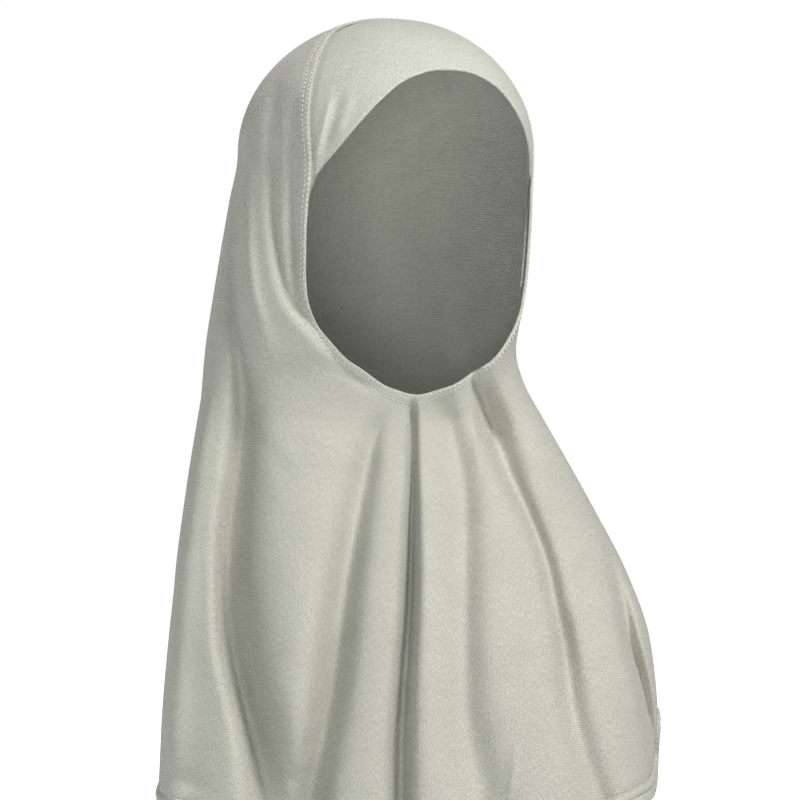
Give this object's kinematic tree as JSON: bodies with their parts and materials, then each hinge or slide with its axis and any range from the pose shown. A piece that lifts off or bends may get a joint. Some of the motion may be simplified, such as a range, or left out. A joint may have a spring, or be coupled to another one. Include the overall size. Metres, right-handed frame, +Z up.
{
  "type": "pull-on jersey hijab",
  "caption": "Pull-on jersey hijab: a hood with a topstitched face opening, an inner forehead band and a cape that hangs over the shoulders.",
  "frame": {"origin": "inner side of the cloth at the crown, where a head carries the hijab", "axes": "+Z up, the face looks along -Y and the wearer's left is +X; the cape is turned 25 degrees towards the wearer's right, as in the picture, where the head is turned to its left"},
  "size_m": [0.2931, 0.2578, 0.4805],
  "materials": {
    "forehead_band": "matte light grey heather jersey",
    "face_hem": "matte light grey heather jersey, turned and topstitched",
    "hood_cape": "matte light grey heather jersey",
    "bottom_hem": "matte light grey heather jersey, turned hem"
  },
  "bodies": {
    "root": {"forehead_band": "forehead_band", "face_hem": "face_hem", "hood_cape": "hood_cape", "bottom_hem": "bottom_hem"}
  },
  "joints": []
}
